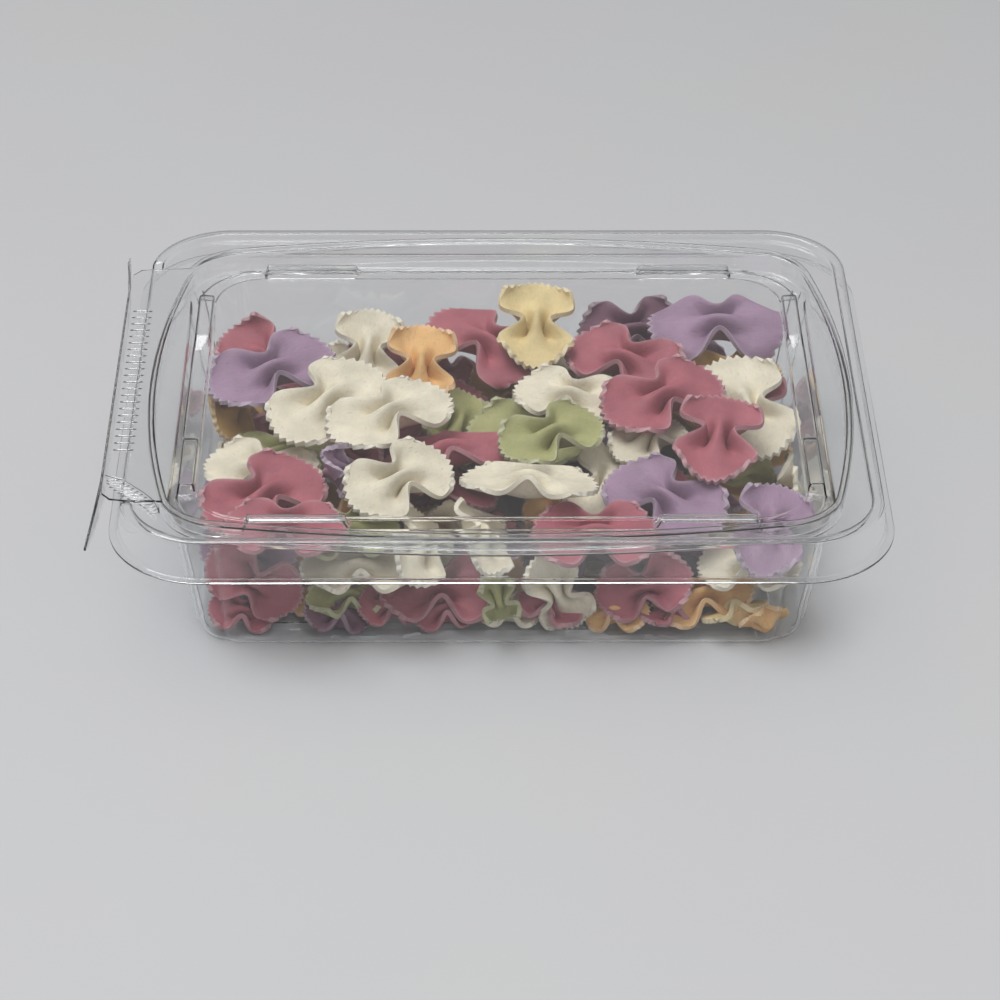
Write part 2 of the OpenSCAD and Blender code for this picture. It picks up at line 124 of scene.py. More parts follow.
clear_film = bpy.data.materials.new("clear_pet_film")
add, join = nodes_of(clear_film)
out = add("ShaderNodeOutputMaterial")
pet = add("ShaderNodeBsdfPrincipled")
pet.inputs["Base Color"].default_value = (0.985, 0.991, 0.993, 1)
pet.inputs["Roughness"].default_value = 0.035
pet.inputs["IOR"].default_value = 1.5
pet.inputs["Transmission Weight"].default_value = 1
waves = noise_at(add, join, add("ShaderNodeTexCoord").outputs["Object"], 55, 2)
bump = add("ShaderNodeBump")
bump.inputs["Strength"].default_value = 0.12
bump.inputs["Distance"].default_value = 0.0006
join(waves.outputs["Fac"], bump.inputs["Height"])
join(bump.outputs["Normal"], pet.inputs["Normal"])
# the light of lamps and of other surfaces goes straight through
lamp_way = add("ShaderNodeBsdfTransparent")
lamp_way.inputs["Color"].default_value = (0.97, 0.978, 0.982, 1)
ray = add("ShaderNodeLightPath")
either = add("ShaderNodeMath")
either.operation = "MAXIMUM"
join(ray.outputs["Is Shadow Ray"], either.inputs[0])
join(ray.outputs["Is Diffuse Ray"], either.inputs[1])
mix = add("ShaderNodeMixShader")
join(either.outputs[0], mix.inputs["Fac"])
join(pet.outputs[0], mix.inputs[1])
join(lamp_way.outputs[0], mix.inputs[2])
join(mix.outputs[0], out.inputs["Surface"])

# Where the points of an outline lie, as shares of half a side or of a corner. They crowd
# together at the ends of the stacking lugs and beside the corners.
HALF_SIDE = (0.12, 0.25, 0.38, 0.5, 0.55, 0.585, 0.6, 0.615, 0.63, 0.66, 0.78, 0.9, 0.97,
             0.985, 0.995, 1)
SIDE = [-f for f in reversed(HALF_SIDE)] + [0, *HALF_SIDE]
CORNER = [i / 40 for i in range(1, 40)]


def outline(half_x, half_y, corner_r, bow_x=None, bow_y=None, lobe=None):
    """Points of a rounded outline, from the front right, anticlockwise, in millimetres.

    The sides may bow outwards by radii of their own, which the corners meet smoothly, and a
    lobe gives a corner's radius at a share of its turn.
    """
    if bow_x:
        # the centres of the two sides lie at (-a, 0) and (0, -b), and the corner's centre is
        # p from the first and q from the second
        a, b = bow_x - half_x, bow_y - half_y
        p, q, d = bow_x - corner_r, bow_y - corner_r, math.hypot(a, b)
        s = (d * d + p * p - q * q) / (2 * d)
        h = math.sqrt(p * p - s * s)
        cx, cy = -a + (s * a + h * b) / d, (-s * b + h * a) / d
        low = math.atan2(cy, cx + a)
        high = math.atan2(cy + b, cx)
    else:
        cx, cy = half_x - corner_r, half_y - corner_r
        low, high = 0, math.pi / 2
    end_y = cy + corner_r * math.sin(low)
    end_x = cx + corner_r * math.cos(high)

    def beside(f):
        y = f * end_y
        return (math.sqrt(bow_x * bow_x - y * y) - a if bow_x else half_x), y

    def across(f):
        x = f * end_x
        return x, (math.sqrt(bow_y * bow_y - x * x) - b if bow_x else half_y)

    def corner(f):
        t = low + (high - low) * f
        r = lobe(f) if lobe else corner_r
        return cx + r * math.cos(t), cy + r * math.sin(t)

    pts = [beside(f) for f in SIDE]
    pts += [corner(f) for f in CORNER]
    pts += [across(-f) for f in SIDE]
    pts += [(-x, y) for x, y in (corner(1 - f) for f in CORNER)]
    pts += [(-x, -y) for x, y in (beside(f) for f in SIDE)]
    pts += [(-x, -y) for x, y in (corner(f) for f in CORNER)]
    pts += [(x, -y) for x, y in (across(f) for f in SIDE)]
    pts += [(x, -y) for x, y in (corner(1 - f) for f in CORNER)]
    return pts


def level(pts, z):
    return [Vector((x, y, z)) for x, y in pts]


def shrunk(ring, share, z):
    """The ring drawn in towards the middle of the pack, at a height."""
    return [Vector((p.x * share, p.y * share, z)) for p in ring]


def rounded(p, q, r, t):
    """A point of the curve that leaves p towards q and comes to r."""
    return p * (1 - t) ** 2 + q * 2 * t * (1 - t) + r * t * t


def eased(rings, radii, steps=4):
    """The same rings with the bend at each of them rounded by its radius."""
    done = [rings[0]]
    for before, here, after, r in zip(rings, rings[1:], rings[2:], radii):
        for i in range(steps + 1):
            ring = []
            for p, q, s in zip(before, here, after):
                back, on = p - q, s - q
                start = q + back * min(r / max(back.length, 1e-6), 0.45)
                end = q + on * min(r / max(on.length, 1e-6), 0.45)
                ring.append(rounded(start, q, end, i / steps))
            done.append(ring)
    done.append(rings[-1])
    return done


def step_in(ring, towards, by):
    """The ring moved a set way towards the next one, in millimetres."""
    return [p + (q - p).normalized() * by for p, q in zip(ring, towards)]


def pulled_on(bm, edge):
    """Extrudes a loop of edges, and gives the new loop's points and edges."""
    geom = bmesh.ops.extrude_edge_only(bm, edges=edge)["geom"]
    made = [g for g in geom if isinstance(g, bmesh.types.BMVert)]
    fresh = set(made)
    return made, [g for g in geom
                  if isinstance(g, bmesh.types.BMEdge) and fresh.issuperset(g.verts)]


def smoothed(bm):
    bmesh.ops.recalc_face_normals(bm, faces=bm.faces)
    for f in bm.faces:
        f.smooth = True


def evened(piece):
    """Weighted normals, so that a thin edge face doesn't bend the flat face beside it."""
    even = piece.modifiers.new("even", "WEIGHTED_NORMAL")
    even.mode = "FACE_AREA"
    even.weight = 50
    even.keep_sharp = True


def thickened(piece, even_offset):
    """Gives a sheet the film's thickness and look."""
    wall = piece.modifiers.new("film", "SOLIDIFY")
    wall.thickness = film
    wall.offset = 0
    wall.use_even_offset = even_offset
    evened(piece)
    piece.data.materials.append(clear_film)


def drawn_sheet(name, rings):
    """A sheet pulled from its outer edge inwards over the rings, in millimetres."""
    bm = bmesh.new()
    slot = bm.verts.layers.int.new("place")
    bmesh.ops.create_circle(bm, cap_ends=False, radius=1, segments=len(rings[0]))
    for i, v in enumerate(bm.verts):
        v[slot] = i
        v.co = rings[0][i] * mm
    edge = bm.edges[:]
    for ring in rings[1:]:
        made, edge = pulled_on(bm, edge)
        for v in made:
            v.co = ring[v[slot]] * mm
    bmesh.ops.contextual_create(bm, geom=edge)
    smoothed(bm)
    piece = placed(name, bm)
    thickened(piece, True)
    return piece


# The tray is drawn from one sheet: a turned-out lip, a leaning skirt, the bead, a shelf and
# a recess for the lid, then drafted walls with three flutes at each corner, and a raised floor.

rim = 92, 73.6
wall_in, corner_in = 11, 17
tray_corner = rim[0] - wall_in - corner_in, rim[1] - wall_in - corner_in
side_bow = 225, 440
lip_z, shelf_z, bead_z, recess_z, foot_z, floor_z = 33.45, 40.95, 42.75, 35.75, 0.25, 1.45
wall_top, wall_high, wall_r = 36, 30.5, 17.25
wall_levels = recess_z, 30, 24, 18, 12, 8, 5.6
flute_r, flute_taper, web_in = 8, 3, 1.6
tan_draft = math.tan(math.radians(9.5))


def wall_line(z):
    """The fluted outline of the wall's middle at a height, in millimetres."""
    down = (wall_top - z) * tan_draft
    flute = flute_r - flute_taper * ((wall_top - z) / wall_high)
    far = wall_r - down - flute
    plain = wall_r - down - web_in

    def lobe(f):
        reach = plain
        for k in (0, 0.5, 1):
            t = (f - k) * math.pi / 2
            if abs(far * math.sin(t)) < flute:
                reach = max(reach, far * math.cos(t)
                            + math.sqrt(flute ** 2 - (far * math.sin(t)) ** 2))
        return reach

    r = wall_r - down
    return outline(tray_corner[0] + r, tray_corner[1] + r, r, lobe=lobe)


def notched(ring):
    """A rim ring pressed down to the shelf on the hinge side, under the lid's flange."""
    half, ramp = 56.2, 1.3
    done = []
    for p in ring:
        q = p.copy()
        if p.x < -80:
            q.z = p.z + (shelf_z - p.z) * min(max((half - abs(p.y)) / ramp, 0), 1)
        done.append(q)
    return done


lip = level(outline(95.1, 76.7, 23.6), lip_z)
skirt_foot = level(outline(93.2, 74.8, 21.7), lip_z)
bead_out = notched(level(outline(rim[0] - half_film, rim[1] - half_film, 20.25), bead_z))
bead_in = notched(level(outline(89.45, 71.05, 17.95), bead_z))
shelf_out = level(outline(89.3, 70.9, 17.8), shelf_z)
recess_top = level(outline(88.35, 68.95, 15.35, *side_bow), shelf_z)
recess_foot = level(outline(88.35, 68.95, 15.35, *side_bow), recess_z)
walls = [level(wall_line(z), z) for z in wall_levels]
tray_rings = eased([lip, skirt_foot, bead_out, bead_in, shelf_out, recess_top, recess_foot,
                    walls[0]], [0.7, 1.1, 0.7, 0.5, 0.7, 0.8])[:-1]
tray_rings[1:1] = [step_in(lip, skirt_foot, edge_step)]
tray_rings += eased([recess_foot] + walls[:2], [1.0])[1:-1]
tray_rings += walls[1:]

foot_r = wall_r - wall_high * tan_draft - 1.2
flat_in, floor_in, floor_r, floor_lean = 2.4, 6.8, 5, 0.8
flat_r = foot_r - flat_in
foot_flat = level(outline(tray_corner[0] + flat_r, tray_corner[1] + flat_r, flat_r), foot_z)
curl = walls[-1]
below = shrunk(curl, 1, foot_z)
curl_steps = 6
for i in range(1, curl_steps + 1):
    tray_rings.append([rounded(p, q, r, i / curl_steps)
                       for p, q, r in zip(curl, below, foot_flat)])
floor_half = tray_corner[0] + foot_r - floor_in, tray_corner[1] + foot_r - floor_in
floor_foot = level(outline(*floor_half, floor_r), foot_z)
floor_top = level(outline(floor_half[0] - floor_lean, floor_half[1] - floor_lean,
                          floor_r - floor_lean), floor_z)
tray_rings += eased([foot_flat, floor_foot, floor_top, shrunk(floor_top, 0.9, floor_z)],
                    [0.5, 0.5])[1:]
tray_rings += [shrunk(floor_top, share, floor_z) for share in (0.7, 0.4, 0.1)]

tray_film = drawn_sheet("tray_film", tray_rings)
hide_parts("tray")
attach(tray_film, "base")


# The lid is drawn from the same sheet: a flat flange that runs out to the hinge, a bowed ring
# wall that presses into the tray, a ledge, and a raised panel with eight stacking lugs.

flange_z, ledge_z, panel_z, lug_z, shoulder_z = 41.75, 36.55, 37.85, 39.55, 37.35
panel_x, panel_y, panel_r = 79.2, 60.8, 17
lug_ends = (49.6 - 12.25, 49.6 + 12.25), (33.5 - 11.5, 33.5 + 11.5)
lug_blend = 0.9
panel_edge = level(outline(panel_x, panel_y, panel_r), 0)


def lug_share(p):
    """1 over a stacking lug, 0 beside it, from a point of the panel's outline."""
    if abs(p.y) > 55 and abs(p.x) < 64:
        along, ends = abs(p.x), lug_ends[0]
    elif abs(p.x) > 70 and abs(p.y) < 46:
        along, ends = abs(p.y), lug_ends[1]
    else:
        return 0
    inside = min(along - ends[0], ends[1] - along)
    return min(max(inside / lug_blend + 0.4, 0), 1)


def panel_ring(inset, z, lug_inset, lug_height):
    """A ring of the panel, with an inset and a height of its own where a lug stands."""
    plain = level(outline(panel_x - inset, panel_y - inset, panel_r - inset), z)
    raised = level(outline(panel_x - lug_inset, panel_y - lug_inset, panel_r - lug_inset),
                   lug_height)
    return [p.lerp(q, lug_share(e)) for p, q, e in zip(plain, raised, panel_edge)]


def flange_edge():
    """The outer edge of the flange: bowed, with the straight run to the hinge on the left."""
    pts = outline(88.8, 70.4, 17, *side_bow)
    reach, half, r, slack = 96.8, 54, 4, 0.6
    left = [i for i, (x, y) in enumerate(pts) if x < 0 and abs(y) < half + slack]
    first, last = left[0], left[-1]
    path = [pts[first]]
    path += [(-reach + r - r * math.sin(t), half - r + r * math.cos(t))
             for t in (i * math.pi / 12 for i in range(7))]
    path += [(x, -y) for x, y in reversed(path)]
    run = [0]
    for p, q in zip(path, path[1:]):
        run.append(run[-1] + math.dist(p, q))
    for n, i in enumerate(range(first, last + 1)):
        want = run[-1] * n / (last - first)
        k = max(j for j in range(len(run) - 1) if run[j] <= want + 1e-9)
        t = (want - run[k]) / (run[k + 1] - run[k])
        pts[i] = (path[k][0] + (path[k + 1][0] - path[k][0]) * t,
                  path[k][1] + (path[k + 1][1] - path[k][1]) * t)
    return level(pts, flange_z)


ring_top = level(outline(87.25, 67.85, 14.25, *side_bow), flange_z)
ring_foot = level(outline(86.95, 67.55, 13.95, *side_bow), ledge_z)
panel_rim = panel_ring(4.9, panel_z, 4.9, panel_z)
lid_rings = eased([
    flange_edge(), ring_top, ring_foot,
    panel_ring(-0.1, ledge_z, 0.2, ledge_z), panel_ring(0.25, shoulder_z, 0.6, lug_z),
    panel_ring(2.2, shoulder_z, 4.0, lug_z), panel_ring(4.4, shoulder_z, 4.3, 37.45),
    panel_rim, shrunk(panel_rim, 0.9, panel_z)], [0.7, 0.8, 0.4, 0.55, 0.55, 0.35, 0.35])
lid_rings[1:1] = [step_in(lid_rings[0], lid_rings[1], edge_step),
                  [p.lerp(q, 0.5) for p, q in zip(*lid_rings[:2])]]
lid_rings += [shrunk(panel_rim, share, panel_z) for share in (0.7, 0.45, 0.2, 0.05)]
# the panel isn't quite flat
wave_high, waves_per_mm = 0.25, 0.03
for ring in lid_rings[-5:]:
    for p in ring:
        p.z += wave_high * noise.noise(Vector((p.x * waves_per_mm, p.y * waves_per_mm, 3.1)))

lid_film = drawn_sheet("lid_film", lid_rings)
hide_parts("lid")
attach(lid_film, "lid")


# Ribs stand along the flange beside the hinge. A leaf-shaped patch of fine ridges, with a
# raised edge, marks the corner by which the lid is lifted.

def raised_bars(name, bars, width, high):
    """Low round bars over a face, each from its points and the face's normal."""
    bm = bmesh.new()
    slot = bm.verts.layers.int.new("place")
    sides, end_share = 10, 0.35
    for points, normal in bars:
        made = bmesh.ops.create_circle(bm, cap_ends=False, radius=1, segments=sides)["verts"]
        for i, v in enumerate(made):
            v[slot] = i
        edge = list(dict.fromkeys(e for v in made for e in v.link_edges))
        first = edge
        for n, here in enumerate(points):
            if n:
                made, edge = pulled_on(bm, edge)
            along = (points[min(n + 1, len(points) - 1)] - points[max(n - 1, 0)]).normalized()
            side = along.cross(normal)
            full = 1 if 0 < n < len(points) - 1 else end_share
            for v in made:
                t = v[slot] * 2 * math.pi / sides
                v.co = (here + side * math.cos(t) * full * width / 2
                        + normal * math.sin(t) * full * high) * mm
        for ring in (first, edge):
            bmesh.ops.contextual_create(bm, geom=ring)
    smoothed(bm)
    piece = placed(name, bm)
    evened(piece)
    piece.data.materials.append(clear_film)
    return piece


def between(a, b, count):
    return [a.lerp(b, i / (count - 1)) for i in range(count)]


def crossing(curve, y):
    """Where a line through given points, from the back to the front, crosses a given Y."""
    for p, q in zip(curve, curve[1:]):
        if y >= q.y or q is curve[-1]:
            return p.lerp(q, min(max((y - p.y) / (q.y - p.y), 0), 1))


upwards = Vector((0, 0, 1))
flange_top = flange_z + half_film
rib_count, rib_pitch = 22, 3.1
ribs = []
for i in range(rib_count):
    y = (i - (rib_count - 1) / 2) * rib_pitch
    ribs.append((between(Vector((-95.3, y, flange_top)), Vector((-90.3, y, flange_top)), 6),
                 upwards))

patch_upper = level((
    (-96.3, -43.6), (-94, -44.5), (-91.8, -45.6), (-89.7, -47.3), (-87.7, -49.5), (-85.9, -51.4),
    (-84.5, -53.2), (-83.3, -55.3), (-82.5, -57.6), (-82.1, -59.8)), flange_top)
patch_lower = level((
    (-96.2, -48.2), (-94, -50.6), (-92, -52.9), (-90, -54.6), (-88, -56), (-86.3, -57.7),
    (-85.1, -59.4), (-83.9, -60.8), (-82.9, -61.7)), flange_top)
ridge_count, ridge_pitch = 12, 1.25
ridges = [(patch_upper, upwards)]
for i in range(ridge_count):
    left = crossing(patch_lower, -46.4 - ridge_pitch * i)
    right = crossing(patch_upper, -45.4 - ridge_pitch * i)
    if i < 2:
        left.y = min(left.y + 3, right.y - 0.7)
    ridges.append((between(left.lerp(right, 0.1), left.lerp(right, 0.86), 7), upwards))

for name, bars, width, high in (("grip_ribs", ribs, 0.6, 0.3),
                                ("corner_ridges", ridges, 0.55, 0.25)):
    piece = raised_bars(name, bars, width, high)
    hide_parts("lid")
    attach(piece, "lid")


# The tear strip is the band between the two folds. Shallow nicks along both of its edges
# stand for the perforation, and each end swings out from the corner as a ridged, leaf-shaped
# pull tab.

fold_x, strip_mid, strip_half = -97.2, 37.6, 3.75
tab_root, leaf_root, tab_tip = 41.5, 46, 68.4
tab_out, tab_lean, tab_drop, tip_half = 2.25, math.radians(9), 0.3, 0.12
nick, nick_step = 0.14, 0.6


def strip_point(y, across):
    """A place on the strip's middle: along Y, and across it from -1 to 1."""
    past = min(max((abs(y) - tab_root) / (tab_tip - tab_root), 0), 1)
    x = fold_x - tab_out * past ** 1.35
    half = strip_half
    if abs(y) > leaf_root:
        leaf = min((abs(y) - leaf_root) / (tab_tip - leaf_root), 1)
        half = strip_half * (1 - leaf ** 2.1) ** 0.8 + tip_half * leaf
    lean = tab_lean * past
    return Vector((x + across * half * math.sin(lean), y,
                   strip_mid + across * half * math.cos(lean) - tab_drop * past))


bm = bmesh.new()
bmesh.ops.create_grid(bm, x_segments=228, y_segments=6, size=1)
for v in bm.verts:
    y, across = v.co.x * tab_tip, v.co.y
    spot = strip_point(y, across)
    if abs(across) > 0.99 and abs(y) < tab_root and round(abs(y) / nick_step) % 6 < 3:
        spot.z += math.copysign(nick, across)
    v.co = spot * mm
smoothed(bm)
strip_film = placed("strip_film", bm)
thickened(strip_film, False)

outwards = Vector((-1, 0, 0.1)).normalized()
mark_count, mark_start, mark_pitch, mark_out = 9, 50.5, 1.75, 0.24
marks = []
for end in (-1, 1):
    for i in range(mark_count):
        y = mark_start + mark_pitch * i
        reach = 0.8 - 0.03 * i
        low, high = strip_point(end * (y + 1.1), -reach), strip_point(end * (y - 0.6), reach)
        marks.append(([p + outwards * mark_out for p in between(low, high, 5)], outwards))
tab_ridges = raised_bars("tab_ridges", marks, 0.55, 0.25)
for piece in (strip_film, tab_ridges):
    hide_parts("tear_strip")
    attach(piece, "strip")


# The pasta: bows cut from coloured dough sheets with a pinking wheel, pinched in the middle
# and dried. Each lies where its CAD solid does: colour, place, turn, size, cup and bend.

BOWS = [
    ("rose", (-61.3, 39.3, 22.9), (20, 6, -38), 0.85, 5, 1),
    ("cream", (-34.8, 43, 22.5), (6, -20, 84), 0.82, 4, 0),
    ("rose", (-3, 42, 26), (8, 4, -40), 1, -3, -1),
    ("straw", (10, 43, 31), (3, -12, 88), 0.88, 4, 1),
    ("plum", (36, 50, 25), (30, 0, 12), 0.8, 4, 0),
    ("rose", (33.5, 31, 27.6), (12, 0, -32), 0.93, 3, 0),
    ("lavender", (58.2, 42.9, 31), (14, 0, 2), 1.0, -5, -2),
    ("cream", (64, 10, 26.5), (6, 12, -76), 1, 3, 1),
    ("ochre", (-69.5, 21, 20), (48, 0, 84), 0.75, 3, 0),
    ("lavender", (-59, 20.6, 31), (12, -4, 30), 0.96, 3, 0),
    ("peach", (-20.3, 25, 29.5), (4, -18, 87), 0.8, 5, 0),
    ("cream", (-44, 5, 31.6), (8, -5, 53), 1.0, 2, 0),
    ("cream", (-28, -4, 33.4), (4, 0, 38), 0.97, 2, 0),
    ("sage", (-11, 14, 18.2), (25, -8, 80), 0.8, 5, 0),
    ("sage", (8.5, 6.5, 20.2), (14, 0, -12), 0.93, 4, 0),
    ("cream", (18.6, 13.6, 27.3), (8, 0, -20), 0.83, 3, 0),
    ("rose", (42, 8, 30.8), (12, 0, 34), 0.97, 3, 0),
    ("rose", (55, -12, 32), (4, -5, 80), 0.93, 4, 0),
    ("lavender", (-41, -22.5, 29.5), (70, 60, 60), 0.42, 6, 0),
    ("rose", (-14, -11, 26), (-8, 0, 27), 1.0, -4, -2),
    ("cream", (-25.3, -31.3, 31.8), (22, 0, 42), 0.85, 2, 0),
    ("cream", (7, -30.8, 30.8), (-14, 0, -7), 0.92, 2, 0),
    ("sage", (13, -9, 30.5), (12, 0, 33), 0.8, 3, 0),
    ("cream", (27, -16, 19.5), (10, -10, 70), 0.85, 4, 0),
    ("lavender", (41, -29, 24.5), (12, 0, -45), 0.97, 3, 0),
    ("lavender", (66.3, -43, 25.5), (10, -14, 75), 0.8, 4, 0),
    ("rose", (-58.8, -32.8, 28), (12, 0, 50), 1.0, 3, 0),
    ("cream", (-60, -13, 22), (10, 0, -20), 0.85, 3, 0),
    ("peach", (-41, -31, 15.3), (35, 0, 22), 0.83, 5, 0),
    ("plum", (-63.8, -31, 12.8), (0, -25, 82), 0.83, 3, 0),
    ("sage", (-55.5, 0, 18.2), (5, 0, 10), 0.85, 2, 0),
    ("rose", (23, -46, 25.8), (14, 0, 3), 0.86, 2, 0),
    ("cream", (-20, -45, 21.3), (38, 0, 80), 0.72, 4, 0),
    ("cream", (-5, -45, 24), (38, 0, 96), 0.7, 4, 0),
    ("rose", (-53, -49.2, 30), (6, 0, -5), 0.83, 2, 0),
    ("ochre", (44, 23, 17.6), (14, 0, 20), 0.88, 3, 0),
    ("rose", (66.3, 28, 14), (0, -20, 84), 0.83, 3, 0),
    ("ochre", (61, 32, 22.8), (10, 0, 8), 0.75, 3, 0),
    ("cream", (37.8, -1.6, 24.4), (8, 0, 48), 0.64, 3, 0),
    ("sage", (-38, -43.4, 25.2), (20, 0, 8), 0.7, 3, 0),
    ("plum", (20, -31, 11.8), (16, 0, 28), 0.85, 3, 0),
    ("rose", (-18, 28, 13), (10, 0, 16), 0.9, 2, 0),
    ("rose", (-61, -48, 14), (72, 28, -8), 0.7, 2, 0),
    ("sage", (-38.3, -47, 8.4), (28, 8, 18), 0.55, 5, 0),
    ("cream", (-35, -47.8, 17.6), (12, 3, 6), 0.78, 3, 1),
    ("rose", (-15, -45.5, 10), (28, 4, 3), 0.85, 2, 0),
    ("sage", (-0.8, -53.7, 12.9), (84, 78, 0), 0.4, 5, 0),
    ("cream", (14, -50.5, 12), (80, 66, -4), 0.62, 3, 0),
    ("rose", (35.2, -48.5, 12.3), (52, -14, 4), 0.67, 4, 0),
    ("peach", (50, -46.5, 8.5), (30, -10, 10), 0.7, 2, 0),
    ("straw", (66.2, -35.5, 10.7), (34, 8, 76), 0.6, 5, 0),
    ("cream", (61.2, -46.4, 17.5), (20, -8, -12), 0.7, 2, 0),
    ("lavender", (-73, -7, 10.5), (80, 16, 90), 0.62, 2, 0),
    ("cream", (73.5, -11, 13.5), (-78, 18, 90), 0.8, 2, 0),
    ("rose", (-30, 52.5, 12.6), (-78, 14, 0), 0.7, 2, 0),
    ("cream", (20, 51.5, 12.6), (-79, -16, 0), 0.74, 2, 0),
]
DOUGH = {
    "rose": (0.42, 0.11, 0.14), "plum": (0.20, 0.085, 0.13), "lavender": (0.36, 0.225, 0.33),
    "cream": (0.82, 0.74, 0.57), "straw": (0.78, 0.61, 0.30), "ochre": (0.64, 0.39, 0.12),
    "peach": (0.82, 0.48, 0.19), "sage": (0.40, 0.39, 0.16)}


def dried_dough(name, colour):
    """Dough of a colour: cloudy, grained, brushed, with a few flecks and floured edges."""
    mat = bpy.data.materials.new(name)
    add, join = nodes_of(mat)
    out = add("ShaderNodeOutputMaterial")
    skin = add("ShaderNodeBsdfPrincipled")
    where = add("ShaderNodeTexCoord").outputs["Object"]
    cloud = noise_at(add, join, where, 130, 5)
    grain = noise_at(add, join, where, 1500, 3)
    # flecks of the vegetable that colours the dough, and lines drawn out as it was rolled
    rolled = add("ShaderNodeAttribute")
    rolled.attribute_name = "rolled"
    flecks = noise_at(add, join, rolled.outputs["Vector"], 1, 2)
    few = add("ShaderNodeMapRange")
    few.inputs["From Min"].default_value = 0.6
    few.inputs["From Max"].default_value = 0.74
    few.inputs["To Max"].default_value = 0.5
    join(flecks.outputs["Fac"], few.inputs["Value"])
    lines = add("ShaderNodeMapping")
    lines.inputs["Scale"].default_value = (0.3, 7, 1)
    join(rolled.outputs["Vector"], lines.inputs["Vector"])
    brushed = noise_at(add, join, lines.outputs["Vector"], 1, 3)
    shade = add("ShaderNodeValToRGB")
    dark, light = shade.color_ramp.elements
    dark.position, light.position = 0.32, 0.68
    dark.color = (*[c * 0.84 for c in colour], 1)
    light.color = (*[min(c * 1.1 + 0.01, 1) for c in colour], 1)
    join(cloud.outputs["Fac"], shade.inputs["Fac"])
    rim = add("ShaderNodeAttribute")
    rim.attribute_name = "floured"
    tint = mixed(add, join, "OVERLAY", 0.28, shade.outputs["Color"], brushed.outputs["Fac"])
    tint = mixed(add, join, "MULTIPLY", 0.22, tint, grain.outputs["Color"])
    tint = mixed(add, join, "MIX", rim.outputs["Fac"], tint,
                 (*[0.55 * c + 0.38 for c in colour], 1))
    tint = mixed(add, join, "MIX", few.outputs["Result"], tint, (*[c * 0.45 for c in colour], 1))
    join(tint, skin.inputs["Base Color"])
    bump = add("ShaderNodeBump")
    bump.inputs["Strength"].default_value = 0.35
    bump.inputs["Distance"].default_value = 0.0003
    join(grain.outputs["Fac"], bump.inputs["Height"])
    join(bump.outputs["Normal"], skin.inputs["Normal"])
    skin.inputs["Roughness"].default_value = 0.62
    skin.inputs["Specular IOR Level"].default_value = 0.35
    join(skin.outputs[0], out.inputs["Surface"])
    return mat


dough_of = {name: dried_dough(name + "_dough", colour) for name, colour in DOUGH.items()}
bow_long, bow_wide, dough_thick, pinch_high = 38 * mm, 26 * mm, 1.2 * mm, 3 * mm
pinch_reach, pinch_share = 0.34, 0.66
teeth, tooth_deep, tooth_start = 9, 0.07, 0.86
end_round, side_draw, fold_sharp, flour_most = 0.34, 0.2, 0.8, 0.55


def pasta_bow(name, colour, place, turn, size, cup, bend):
    """A bow: s runs along it from end to end and v across it, both from -1 to 1."""
    seed = place[0] + 3 * place[1]
    bm = bmesh.new()
    floured = bm.verts.layers.float.new("floured")
    rolled = bm.verts.layers.float_vector.new("rolled")
    bmesh.ops.create_grid(bm, x_segments=36, y_segments=4 * teeth, size=1)
    for vert in bm.verts:
        s, v = vert.co.x, vert.co.y
        s = math.copysign(1 - (1 - abs(s)) ** 1.15, s)
        pinch = math.exp(-(s / pinch_reach) ** 2)
        tooth = abs((v * teeth / 2 + 0.25) % 1 - 0.5) * 2
        near_end = min(max((abs(s) - tooth_start) / (1 - tooth_start), 0), 1)
        cut = 1 - end_round * v * v - tooth_deep * tooth * near_end
        curled = (1 - 0.004 * cup * cup * s * s) * (1 - side_draw * s * s)
        fold = math.cos(2 * math.pi * v)
        vert[floured] = flour_most * max(near_end ** 3, 0.6 * abs(v) ** 24)
        vert[rolled] = s * 9 + seed, v * 24, seed
        vert.co = Vector((
            size * s * bow_long / 2 * cut,
            size * v * bow_wide / 2 * (1 - pinch_share * pinch) * curled,
            pinch_high * pinch * math.copysign(abs(fold) ** fold_sharp, fold)
            + (cup * s * s * (v * v - 0.3) + bend * (s * s - 0.3)) * mm))
    rx, ry, rz = (math.radians(t) for t in turn)
    lay = (Matrix.Translation(Vector(place) * mm) @ Matrix.Rotation(rz, 4, "Z")
           @ Matrix.Rotation(ry, 4, "Y") @ Matrix.Rotation(rx, 4, "X"))
    bmesh.ops.transform(bm, matrix=lay, verts=bm.verts)
    for f in bm.faces:
        f.smooth = True
    for e in bm.edges:
        e.smooth = not e.is_boundary
    piece = placed(name, bm)
    sheet = piece.modifiers.new("dough", "SOLIDIFY")
    sheet.thickness = dough_thick
    sheet.offset = 0
    piece.data.materials.append(dough_of[colour])
    return piece


for i, (colour, place, turn, size, cup, bend) in enumerate(BOWS, 1):
    piece = pasta_bow(f"pasta_{i}", colour, place, turn, size, cup, bend)
    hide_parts(f"bow_{i}")
    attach(piece, "base")

# the bows that lie on the floor, in three rows of four, each turned its own way
floor_pitch, floor_bow_z, floor_size = (34, 31), 5.6, 0.84
for i in range(4):
    for j in range(3):
        colour = list(DOUGH)[(3 * i + 5 * j) % len(DOUGH)]
        place = ((i - 1.5) * floor_pitch[0] + (j % 2) * 4 - 2, (j - 1) * floor_pitch[1],
                 floor_bow_z)
        turn = (4 * ((i + j) % 3 - 1), 3 * ((i + 2 * j) % 3 - 1),
                40 + 90 * ((i + j) % 2) + 8 * (i % 2))
        piece = pasta_bow(f"pasta_low_{i}_{j}", colour, place, turn, floor_size, 1, 0)
        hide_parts("floor_layer")
        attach(piece, "base")

